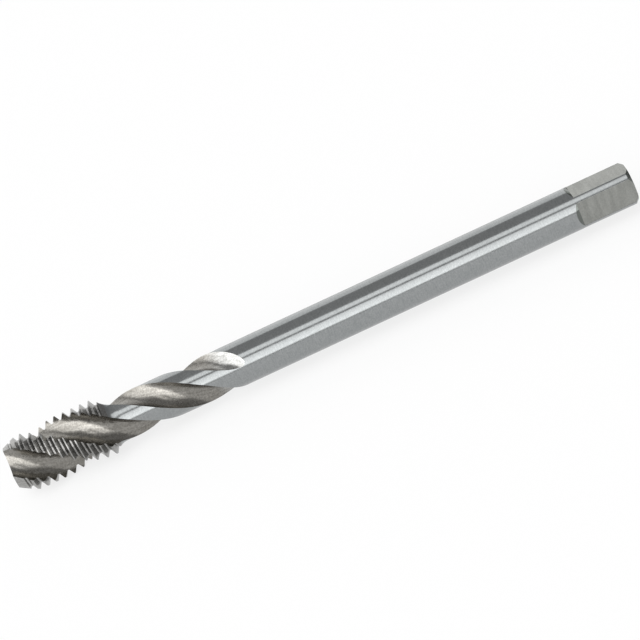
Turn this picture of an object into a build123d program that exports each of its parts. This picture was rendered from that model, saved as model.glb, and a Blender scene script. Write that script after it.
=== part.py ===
from build123d import *
from math import cos, radians, sin, tan
import os

# Machine tap, M8 x 1.25, right hand, with three right-hand spiral flutes, a chamfer lead, a reduced shank and
# a square drive. It is ground from one bar of tool steel, so it is one solid. Millimetres.
# The axis is +X from the tip's end face at the origin to the end of the square. Angles about it run from +Z
# towards -Y, the way that a right-hand screw turns as X grows. Two flats of the square face +Z and -Z.

# body: behind the thread the fluted neck grows to the shank's full diameter, by less than the shank's
# tolerance
overall_length = 90.0
shank_diameter = 6.0
neck_taper = 0.03
end_chamfer = 0.5

# thread, with the 60 degree form, an eighth of the pitch left flat on the crests. Behind it a concave arc
# leads down to the neck.
thread_diameter = 8.0
thread_pitch = 1.25
thread_depth_ratio = 0.6134
thread_length = 13.6
thread_phase = 46.0
back_arc_length = 1.8

# lead: the first threads are ground off to a cone, so that they cut a little at a time
tip_diameter = 6.0
lead_length = 2.4

# flutes: a round cutter follows a helix, then lifts out of the shank, ever faster, while the bar turns a
# bit further
flute_count = 3
flute_lead = 32.0
flute_radius = 1.95
core_diameter = 3.3
flute_length = 26.8
flute_phase = 40.4
runout_length = 8.0
runout_turn = 10.0
runout_clearance = 0.45
runout_lift_power = 1.7
runout_turn_power = 1.2

# square drive
square_width = 4.8
square_length = 8.0
flat_count = 4

thread_radius = thread_diameter / 2
shank_radius = shank_diameter / 2
core_radius = core_diameter / 2

# thread form, in the plane of the axis
flank = tan(radians(30))
crest_flat = thread_pitch / 8
thread_depth = thread_depth_ratio * thread_pitch
root_radius = thread_radius - thread_depth
root_flat = thread_pitch - crest_flat - 2 * thread_depth * flank
groove_overcut = crest_flat / (4 * flank)
groove_mouth = thread_pitch - crest_flat + 2 * groove_overcut * flank

# The lands between the flutes, and the places where the thread's groove crosses the middle of one.
land_pitch = 360 / flute_count
groove_arc = land_pitch * 2 / 3
crossings_per_mm = flute_count * (1 / thread_pitch - 1 / flute_lead)
first_crossing = (flute_phase + land_pitch / 2 - thread_phase) % land_pitch / land_pitch / crossings_per_mm
thread_end = thread_length + back_arc_length / 2 + thread_pitch / 2
crossing_count = int((thread_end - first_crossing) * crossings_per_mm)
crossings = [first_crossing + n / crossings_per_mm for n in range(-flute_count, crossing_count + 1)]

neck_start = (thread_length + back_arc_length, shank_radius - neck_taper / 2)

# The flute cutter's centre line starts clear of the tip.
cutter_path_radius = core_radius + flute_radius
cutter_lead_in = 1.5
cutter_lift = shank_radius - core_radius + runout_clearance


def runout_point(share):
    """Centre of the flute cutter at this share of its run-out, as it lifts away from the axis."""
    x = flute_length + share * runout_length
    radius = cutter_path_radius + cutter_lift * share**runout_lift_power
    turn = radians(360 * (x + cutter_lead_in) / flute_lead + runout_turn * share**runout_turn_power)
    return Vector(x, -radius * sin(turn), radius * cos(turn))


# One stretch of the thread's groove. It spans one land and ends in the open flutes beside it.
with BuildPart() as groove_cutter:
    groove_start = -groove_arc / 720 * thread_pitch
    with BuildLine() as groove_path:
        Helix(
            pitch=thread_pitch,
            height=groove_arc / 360 * thread_pitch,
            radius=root_radius,
            center=(groove_start, 0, 0),
            direction=(1, 0, 0),
        )
    with BuildSketch(Plane(origin=(groove_start, 0, root_radius), x_dir=(1, 0, 0), z_dir=(0, -1, 0))):
        with BuildLine():
            Polyline(
                (-root_flat / 2, 0),
                (root_flat / 2, 0),
                (groove_mouth / 2, thread_depth + groove_overcut),
                (-groove_mouth / 2, thread_depth + groove_overcut),
                close=True,
            )
        make_face()
    sweep(path=groove_path.line, is_frenet=True)

# One flute. Its section is round square to the helix.
with BuildPart() as flute_cutter:
    with BuildLine() as flute_path:
        helix = Helix(
            pitch=flute_lead,
            height=flute_length + cutter_lead_in,
            radius=cutter_path_radius,
            center=(-cutter_lead_in, 0, 0),
            direction=(1, 0, 0),
        )
        lift_direction = (runout_point(1) - runout_point(0.999)).normalized()
        Spline(*[runout_point(n / 4) for n in range(5)], tangents=(helix % 1, lift_direction))
    with BuildSketch(Plane(origin=helix @ 0, x_dir=(0, 0, 1), z_dir=helix % 0)):
        Circle(flute_radius)
    sweep(path=flute_path.line)

# One flat of the square, with the 45 degree shoulder that leads up to it.
with BuildPart() as flat_cutter:
    with BuildSketch(Plane.XZ):
        with BuildLine():
            flat_start = overall_length - square_length
            Polyline(
                (flat_start, square_width / 2),
                (overall_length + 1, square_width / 2),
                (overall_length + 1, shank_diameter),
                (flat_start - shank_diameter + square_width / 2, shank_diameter),
                close=True,
            )
        make_face()
    extrude(amount=shank_diameter, both=True)

with BuildPart() as tap:
    # the turned blank
    with BuildSketch(Plane.XZ):
        with BuildLine():
            Polyline(
                (0, 0),
                (0, tip_diameter / 2),
                (lead_length, thread_radius),
                (thread_length, thread_radius),
            )
            TangentArc(neck_start, (thread_length, thread_radius), tangent=(-1, 0))
            Polyline(
                neck_start,
                (flute_length + runout_length, shank_radius),
                (overall_length - end_chamfer, shank_radius),
                (overall_length, shank_radius - end_chamfer),
                (overall_length, 0),
                (0, 0),
            )
        make_face()
    revolve(axis=Axis.X)
    # the thread, stretch by stretch along its helix, from one land to the next
    with Locations(*[Location((x, 0, 0), (thread_phase + 360 * x / thread_pitch - groove_arc / 2, 0, 0))
                     for x in crossings]):
        add(groove_cutter.part, mode=Mode.SUBTRACT)
    # the flutes
    flute_start = flute_phase - 360 * cutter_lead_in / flute_lead
    with Locations(*[Location((0, 0, 0), (flute_start + n * land_pitch, 0, 0)) for n in range(flute_count)]):
        add(flute_cutter.part, mode=Mode.SUBTRACT)
    # the square
    with Locations(*[Location((0, 0, 0), (n * 360 / flat_count, 0, 0)) for n in range(flat_count)]):
        add(flat_cutter.part, mode=Mode.SUBTRACT)

tap.part.label = "tap"
os.makedirs("parts", exist_ok=True)
export_step(tap.part, "parts/tap.step")
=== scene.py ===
import math
from functools import reduce
from types import SimpleNamespace

import bpy
from mathutils import Matrix, Vector


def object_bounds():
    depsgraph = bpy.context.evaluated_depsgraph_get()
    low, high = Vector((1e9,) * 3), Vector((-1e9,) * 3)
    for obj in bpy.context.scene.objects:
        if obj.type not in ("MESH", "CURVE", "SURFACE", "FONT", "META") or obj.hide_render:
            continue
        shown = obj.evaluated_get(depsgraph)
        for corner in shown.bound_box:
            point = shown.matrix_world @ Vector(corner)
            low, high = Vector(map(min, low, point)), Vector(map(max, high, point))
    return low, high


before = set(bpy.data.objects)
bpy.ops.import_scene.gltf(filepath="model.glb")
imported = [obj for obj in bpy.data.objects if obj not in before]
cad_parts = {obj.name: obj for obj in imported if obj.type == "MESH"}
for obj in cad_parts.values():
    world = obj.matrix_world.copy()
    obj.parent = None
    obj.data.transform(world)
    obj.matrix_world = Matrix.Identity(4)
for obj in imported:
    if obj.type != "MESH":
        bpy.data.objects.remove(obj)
cad_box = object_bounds()

MM = 0.001

# camera, in degrees and metres
CAMERA_ELEVATION = 28.2
CAMERA_ROLL = 24.92
CAMERA_DISTANCE = 378 * MM
TARGET_X = 45.11 * MM
TARGET_RISE = 0.73 * MM
PIXELS_PER_MM = 7.574
IMAGE_PIXELS = 640
SENSOR_WIDTH = 36.0
CAMERA_CLIP = (0.01, 10.0)

# where the parts of the tap lie, in mm from the tip's end face, and the lead of its flutes, which end before
# the middle
LEAD_END = 2.4
THREAD_END = 14.6
NECK_START = 15.5
FLUTE_LEAD = 32.0
MIDDLE = 60.0
SQUARE_START = 81.0
END_CHAMFER_START = 89.5

# white floor: size and gap in metres, its colour, and its glow and the share of its shadow as they are seen
FLOOR_SIZE = 4.0
FLOOR_GAP = 0.02 * MM
FLOOR_ALBEDO = 0.8
FLOOR_GLOW = 0.75
SHADOW_SHARE = 0.25

# studio: soft boxes that run along the tap, each by the span of its angle in degrees and by its brightness
# at either edge. The angle runs from level in front of the tap, 0, over its top, 90, to level behind it, 180.
KEY_BOX = (7.0, 42.0, 3.5, 2.4)
TOP_BOX = (51.0, 70.5, 2.4, 2.3)
BACK_BOX = (127.0, 185.0, 1.5, 1.7)
BOX_SOFTNESS = 2.5
CEILING = 0.55
# the boxes end towards the shank, and one more stands beyond the tip. The spans over which that happens are
# of the x of the direction that light comes from, and the span over which the white horizon ends is of its z.
BOX_END = (0.08, 0.40)
END_LIGHT = 0.42
TIP_BOX = (2.0, 112.0, 4.8, 2.7)
TIP_BOX_START = (-0.08, -0.32)
HORIZON = 1.0
HORIZON_HEIGHT = (0.04, 0.10)

# what tells one face of the tap from the next: its distance from the axis in mm, or the part of its normal
# that points along the axis, away from it or round it
FLUTE_RADIUS = 2.9
FLUTE_NORMAL_ROUND = 0.25
LAND_NORMAL_OUTWARD = 0.965
END_NORMAL_ALONG = 0.95
FLAT_RADIUS = 2.975
CHAMFER_NORMAL_ALONG = 0.3
# where the arc behind the thread becomes the round neck, and where the flutes become their run-outs, in mm
NECK_BLEND = (15.1, 16.6)
RUNOUT_BLEND = (28.5, 31.5)

# noise, per mm: scale, detail and roughness. Rings and streaks have a squeeze first, which draws rings out
# round the axis and streaks along the flutes.
RING_FINE = (0.08, 9.0, 3.0, 0.6)
RING_WIDE = (0.2, 1.6, 2.0, 0.5)
STREAK = (0.12, 3.2, 3.0, 0.6)
STREAK_FINE = (0.10, 9.0, 2.0, 0.6)
GRAIN = (6.0, 2.0, 0.6)
SMUDGE = (0.35, 2.0, 0.5)
SPECKLE = (4.5, 1.0, 0.5)
# the spans of the noise's values that colour and roughness use
NOISE_SPAN = (0.3, 0.7)
RING_SPAN = (0.4, 0.7)
FINE_STREAK_SPAN = (0.5, 0.75)

# steel colours, as pairs where noise blends them, or where the depth of the thread blends them as painted
# shade, darker at the thread's roots
SHANK_COLOURS = (0.292, 0.305, 0.307), (0.324, 0.334, 0.336)
RING_COLOUR = (0.272, 0.285, 0.287)
# painted shade: the thread is coloured darker towards its roots, in the gaps between its teeth
THREAD_ROOT_SHADE_COLOURS = (0.25, 0.247, 0.24), (0.29, 0.288, 0.28)
THREAD_ROOT_SHADE_RADII = (3.23, 3.85)
LEAD_COLOUR = (0.335, 0.332, 0.322)
FLUTE_COLOURS = (0.205, 0.196, 0.178), (0.270, 0.260, 0.241)
STREAK_COLOUR = (0.13, 0.12, 0.107)
STREAK_SHARE = 0.35
RUNOUT_COLOURS = (0.26, 0.26, 0.252), (0.42, 0.42, 0.41)
FLAT_COLOURS = (0.255, 0.26, 0.245), (0.305, 0.31, 0.293)
# painted shade: the chamfer at the end of the square is coloured dark for the shade it shows
CHAMFER_SHADE_COLOUR = (0.14, 0.15, 0.14)
SMOOTH_SPECKLE = 0.07
ROUGH_SPECKLE = 0.2

SHANK_ROUGHNESS = (0.13, 0.17)
THREAD_ROUGHNESS = 0.22
FLUTE_ROUGHNESS = (0.22, 0.28)
FLAT_ROUGHNESS = 0.2

# bump, in mm of height
RING_HEIGHT = 0.0006
GRAIN_HEIGHT = 0.0018
FLUTE_GRAIN_HEIGHT = 0.001
FLUTE_STREAK_HEIGHT = 0.003
FLAT_RING_HEIGHT = 0.004

# sockets of the Mix node, which has a set for each kind of value
MIX_NUMBERS = (0, 2, 3)
MIX_COLOURS = (0, 6, 7)
MIX_COLOUR_RESULT = 2


class Graph:
    """Short names for the shader nodes that this script uses. A value is a number, a colour or a socket."""

    def __init__(self, tree):
        self.tree = tree
        tree.nodes.clear()

    def node(self, kind, **settings):
        made = self.tree.nodes.new(kind)
        for name, value in settings.items():
            setattr(made, name, value)
        return made

    def feed(self, socket, value):
        if isinstance(value, bpy.types.NodeSocket):
            self.tree.links.new(value, socket)
        elif isinstance(value, tuple) and len(value) == 3 and socket.type == "RGBA":
            socket.default_value = (*value, 1)
        else:
            socket.default_value = value

    def math(self, operation, *values):
        made = self.node("ShaderNodeMath", operation=operation)
        for socket, value in zip(made.inputs, values):
            self.feed(socket, value)
        return made.outputs[0]

    def between(self, value, low, high, to_low=0.0, to_high=1.0, kind="SMOOTHSTEP"):
        """to_low where value is at low, to_high at high, and a smooth step between them."""
        made = self.node("ShaderNodeMapRange", interpolation_type=kind)
        names = ("Value", "From Min", "From Max", "To Min", "To Max")
        for name, number in zip(names, (value, low, high, to_low, to_high)):
            self.feed(made.inputs[name], number)
        return made.outputs[0]

    def mix(self, share, a, b):
        """A number between a and b."""
        made = self.node("ShaderNodeMix", data_type="FLOAT")
        for socket, value in zip(MIX_NUMBERS, (share, a, b)):
            self.feed(made.inputs[socket], value)
        return made.outputs[0]

    def blend(self, share, a, b, kind="MIX"):
        """A colour between a and b."""
        made = self.node("ShaderNodeMix", data_type="RGBA", blend_type=kind)
        for socket, value in zip(MIX_COLOURS, (share, a, b)):
            self.feed(made.inputs[socket], value)
        return made.outputs[MIX_COLOUR_RESULT]

    def split(self, vector):
        made = self.node("ShaderNodeSeparateXYZ")
        self.feed(made.inputs[0], vector)
        return made.outputs

    def join(self, x, y, z):
        made = self.node("ShaderNodeCombineXYZ")
        for socket, value in zip(made.inputs, (x, y, z)):
            self.feed(socket, value)
        return made.outputs[0]

    def vector_math(self, operation, vector):
        made = self.node("ShaderNodeVectorMath", operation=operation)
        self.feed(made.inputs[0], vector)
        return made

    def noise(self, vector, scale, detail, roughness):
        """Noise around 0.5."""
        made = self.node("ShaderNodeTexNoise")
        self.feed(made.inputs["Vector"], vector)
        made.inputs["Scale"].default_value = scale
        made.inputs["Detail"].default_value = detail
        made.inputs["Roughness"].default_value = roughness
        return made.outputs[0]

    def times(self, *values):
        return reduce(lambda a, b: self.math("MULTIPLY", a, b), values)

    def total(self, *values):
        return reduce(lambda a, b: self.math("ADD", a, b), values)

    # masks: numbers that are 1 where something holds and 0 elsewhere
    def less(self, a, b):
        return self.math("LESS_THAN", a, b)

    def more(self, a, b):
        return self.math("GREATER_THAN", a, b)

    def all_of(self, *masks):
        return self.times(*masks)

    def any_of(self, *masks):
        return reduce(lambda a, b: self.math("MAXIMUM", a, b), masks)

    def outside(self, mask):
        return self.math("SUBTRACT", 1.0, mask)


def add_camera():
    """It looks along +Y and down, rolled, so that the tap lies slanted in the picture."""
    elevation, roll = math.radians(CAMERA_ELEVATION), math.radians(CAMERA_ROLL)
    back = Vector((0, -math.cos(elevation), math.sin(elevation)))
    right = Vector((1, 0, 0))
    up = back.cross(right)
    camera_right = right * math.cos(roll) - up * math.sin(roll)
    camera_up = right * math.sin(roll) + up * math.cos(roll)
    data = bpy.data.cameras.new("camera")
    camera = bpy.data.objects.new("camera", data)
    bpy.context.scene.collection.objects.link(camera)
    placed = Matrix((camera_right, camera_up, back)).transposed().to_4x4()
    placed.translation = Vector((TARGET_X, 0, 0)) + up * TARGET_RISE + back * CAMERA_DISTANCE
    camera.matrix_world = placed
    data.sensor_width = SENSOR_WIDTH
    data.lens = PIXELS_PER_MM * (CAMERA_DISTANCE / MM) / IMAGE_PIXELS * SENSOR_WIDTH
    data.clip_start, data.clip_end = CAMERA_CLIP
    bpy.context.scene.camera = camera


def add_studio():
    """The light in the room: soft boxes along the tap, a dark ceiling between them and a white horizon."""
    world = bpy.data.worlds.new("studio")
    world.use_nodes = True
    bpy.context.scene.world = world
    g = Graph(world.node_tree)
    x, y, z = g.split(g.node("ShaderNodeTexCoord").outputs["Generated"])
    angle = g.math("DEGREES", g.math("ARCTAN2", z, g.math("MULTIPLY", y, -1.0)))

    def add_box(light, box, share):
        start, end, first, last = box
        past_start = g.between(angle, start - BOX_SOFTNESS, start + BOX_SOFTNESS)
        before_end = g.between(angle, end + BOX_SOFTNESS, end - BOX_SOFTNESS)
        brightness = g.between(angle, start, end, first, last, "LINEAR")
        return g.mix(g.all_of(past_start, before_end, share), light, brightness)

    light = CEILING
    for box in (KEY_BOX, TOP_BOX, BACK_BOX):
        light = add_box(light, box, 1.0)
    light = g.mix(g.between(x, *BOX_END), light, END_LIGHT)
    light = add_box(light, TIP_BOX, g.between(x, *TIP_BOX_START))
    light = g.mix(g.between(z, *HORIZON_HEIGHT), HORIZON, light)
    background = g.node("ShaderNodeBackground")
    g.feed(background.inputs["Strength"], light)
    g.feed(g.node("ShaderNodeOutputWorld").inputs[0], background.outputs[0])


def add_floor():
    """A white floor under the thread, which keeps the tap's shadow."""
    half, z = FLOOR_SIZE / 2, cad_box[0].z - FLOOR_GAP
    mesh = bpy.data.meshes.new("floor")
    corners = [(-half, -half, z), (half, -half, z), (half, half, z), (-half, half, z)]
    mesh.from_pydata(corners, [], [tuple(range(len(corners)))])
    floor = bpy.data.objects.new("floor", mesh)
    bpy.context.scene.collection.objects.link(floor)
    material = bpy.data.materials.new("floor")
    material.use_nodes = True
    g = Graph(material.node_tree)
    path = g.node("ShaderNodeLightPath")
    seen = g.any_of(*[path.outputs[f"Is {kind} Ray"] for kind in ("Camera", "Glossy", "Transmission")])
    matte = g.node("ShaderNodeBsdfDiffuse")
    albedo = g.mix(seen, FLOOR_ALBEDO, FLOOR_ALBEDO * SHADOW_SHARE)
    g.feed(matte.inputs["Color"], g.join(albedo, albedo, albedo))
    glow = g.node("ShaderNodeEmission")
    g.feed(glow.inputs["Strength"], g.times(seen, FLOOR_GLOW))
    both = g.node("ShaderNodeAddShader")
    g.feed(both.inputs[0], matte.outputs[0])
    g.feed(both.inputs[1], glow.outputs[0])
    g.feed(g.node("ShaderNodeOutputMaterial").inputs[0], both.outputs[0])
    mesh.materials.append(material)


def find_faces(g, place, radius, geometry):
    """Masks that say which face of the tap a point is on."""
    x, y, z = g.split(place)
    nx, ny, nz = g.split(geometry.outputs["True Normal"])
    across = g.math("SUBTRACT", g.times(nz, y), g.times(ny, z))
    normal_round = g.math("ABSOLUTE", g.math("DIVIDE", across, radius))
    _, sy, sz = g.split(geometry.outputs["Normal"])
    normal_outward = g.math("DIVIDE", g.total(g.times(sy, y), g.times(sz, z)), radius)

    side = g.less(g.math("ABSOLUTE", nx), END_NORMAL_ALONG)
    deep = g.less(radius, FLUTE_RADIUS)
    tooth_side = g.all_of(g.less(x, NECK_START), g.more(normal_round, FLUTE_NORMAL_ROUND))
    neck_flute = g.all_of(g.more(x, NECK_START), g.less(normal_outward, LAND_NORMAL_OUTWARD))
    flute = g.all_of(g.any_of(deep, tooth_side, neck_flute), g.less(x, MIDDLE), side)
    in_square = g.more(x, SQUARE_START)
    flat = g.all_of(in_square, g.less(radius, FLAT_RADIUS), g.less(nx, CHAMFER_NORMAL_ALONG))
    round_part = g.all_of(g.between(x, *NECK_BLEND), g.less(x, END_CHAMFER_START))
    return SimpleNamespace(
        flute=flute,
        thread=g.all_of(g.less(x, THREAD_END), side, g.outside(flute)),
        land=g.all_of(round_part, g.outside(g.any_of(flute, flat))),
        chamfer=g.all_of(in_square, g.more(nx, CHAMFER_NORMAL_ALONG), side),
        flat_or_end=g.any_of(flat, g.outside(side)),
        flat=flat,
    )


def face_normal(g, place, radius, faces, geometry):
    """Crisp flats and threads, smooth flutes, and lands and a shank that are truly round."""
    _, y, z = g.split(place)
    crisp = g.any_of(faces.flat_or_end, faces.thread, faces.chamfer)
    normal = g.blend(crisp, geometry.outputs["Normal"], geometry.outputs["True Normal"])
    outward = g.join(0.0, g.math("DIVIDE", y, radius), g.math("DIVIDE", z, radius))
    return g.vector_math("NORMALIZE", g.blend(faces.land, normal, outward)).outputs[0]


def grinding_marks(g, place):
    """Noise around 0.5: grinding lines round the axis, streaks along the flutes, grain and smudges."""
    x, y, z = g.split(place)
    untwist = g.node("ShaderNodeVectorRotate", rotation_type="X_AXIS")
    g.feed(untwist.inputs["Vector"], place)
    g.feed(untwist.inputs["Angle"], g.times(x, -2 * math.pi / FLUTE_LEAD))
    ux, uy, uz = g.split(untwist.outputs[0])

    def rings(squeeze, *noise):
        return g.noise(g.join(x, g.times(y, squeeze), g.times(z, squeeze)), *noise)

    def streaks(squeeze, *noise):
        return g.noise(g.join(g.times(ux, squeeze), uy, uz), *noise)

    return SimpleNamespace(
        ring_fine=rings(*RING_FINE),
        ring_wide=rings(*RING_WIDE),
        streak=streaks(*STREAK),
        streak_fine=streaks(*STREAK_FINE),
        grain=g.noise(place, *GRAIN),
        smudge=g.noise(place, *SMUDGE),
        speckle=g.noise(place, *SPECKLE),
    )


def steel_colour(g, place, radius, faces, marks):
    x, _, _ = g.split(place)
    ringed = g.between(marks.ring_fine, *RING_SPAN)
    shank = g.blend(ringed, g.blend(marks.smudge, *SHANK_COLOURS), RING_COLOUR)
    # painted shade: the thread's colour darkens from its crests to its roots
    thread = g.blend(g.between(radius, *THREAD_ROOT_SHADE_RADII), *THREAD_ROOT_SHADE_COLOURS)
    thread = g.blend(g.less(x, LEAD_END), thread, LEAD_COLOUR)
    streaked = g.between(marks.streak, *NOISE_SPAN)
    dark_streaks = g.between(marks.streak_fine, *FINE_STREAK_SPAN, 0.0, STREAK_SHARE)
    flute = g.blend(dark_streaks, g.blend(streaked, *FLUTE_COLOURS), STREAK_COLOUR)
    flute = g.blend(g.between(x, *RUNOUT_BLEND), flute, g.blend(streaked, *RUNOUT_COLOURS))
    flat = g.blend(g.between(marks.ring_wide, *NOISE_SPAN), *FLAT_COLOURS)

    colour = g.blend(faces.thread, shank, thread)
    colour = g.blend(faces.flute, colour, flute)
    colour = g.blend(faces.flat_or_end, colour, flat)
    # painted shade on the end chamfer
    colour = g.blend(faces.chamfer, colour, CHAMFER_SHADE_COLOUR)
    speckle = g.mix(g.any_of(faces.flute, faces.thread), SMOOTH_SPECKLE, ROUGH_SPECKLE)
    darkest, lightest = g.math("SUBTRACT", 1.0, speckle), g.total(1.0, speckle)
    speckled = g.between(marks.speckle, *NOISE_SPAN, darkest, lightest, "LINEAR")
    return g.blend(1.0, colour, g.join(speckled, speckled, speckled), "MULTIPLY")


def steel_roughness(g, faces, marks):
    rough = g.between(marks.ring_wide, *NOISE_SPAN, *SHANK_ROUGHNESS, "LINEAR")
    rough = g.mix(faces.thread, rough, THREAD_ROUGHNESS)
    rough = g.mix(faces.flute, rough, g.between(marks.grain, *NOISE_SPAN, *FLUTE_ROUGHNESS, "LINEAR"))
    return g.mix(faces.flat_or_end, rough, FLAT_ROUGHNESS)


def steel_height(g, faces, marks):
    return g.total(
        g.times(marks.ring_fine, RING_HEIGHT),
        g.times(marks.grain, g.mix(faces.flute, GRAIN_HEIGHT, FLUTE_GRAIN_HEIGHT)),
        g.times(marks.streak_fine, g.mix(faces.flute, 0.0, FLUTE_STREAK_HEIGHT)),
        g.times(marks.ring_fine, g.mix(faces.flat, 0.0, FLAT_RING_HEIGHT)),
    )


def tool_steel():
    """Ground high-speed steel. Where on the tap a point is says how that face was made, and where the
    thread's roots and the end chamfer get painted shade.
    """
    material = bpy.data.materials.new("tool_steel_ground")
    material.use_nodes = True
    g = Graph(material.node_tree)
    in_mm = g.vector_math("SCALE", g.node("ShaderNodeTexCoord").outputs["Object"])
    in_mm.inputs["Scale"].default_value = 1 / MM
    place = in_mm.outputs[0]
    _, y, z = g.split(place)
    radius = g.math("SQRT", g.total(g.times(y, y), g.times(z, z)))
    geometry = g.node("ShaderNodeNewGeometry")
    faces = find_faces(g, place, radius, geometry)
    marks = grinding_marks(g, place)

    bump = g.node("ShaderNodeBump")
    bump.inputs["Strength"].default_value = 1.0
    bump.inputs["Distance"].default_value = MM
    g.feed(bump.inputs["Height"], steel_height(g, faces, marks))
    g.feed(bump.inputs["Normal"], face_normal(g, place, radius, faces, geometry))

    surface = g.node("ShaderNodeBsdfPrincipled")
    surface.inputs["Metallic"].default_value = 1.0
    g.feed(surface.inputs["Base Color"], steel_colour(g, place, radius, faces, marks))
    g.feed(surface.inputs["Roughness"], steel_roughness(g, faces, marks))
    g.feed(surface.inputs["Normal"], bump.outputs[0])
    g.feed(g.node("ShaderNodeOutputMaterial").inputs[0], surface.outputs[0])
    return material


add_camera()
add_studio()
add_floor()
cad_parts["tap"].material_slots[0].material = tool_steel()
bpy.context.scene.view_settings.view_transform = "Standard"
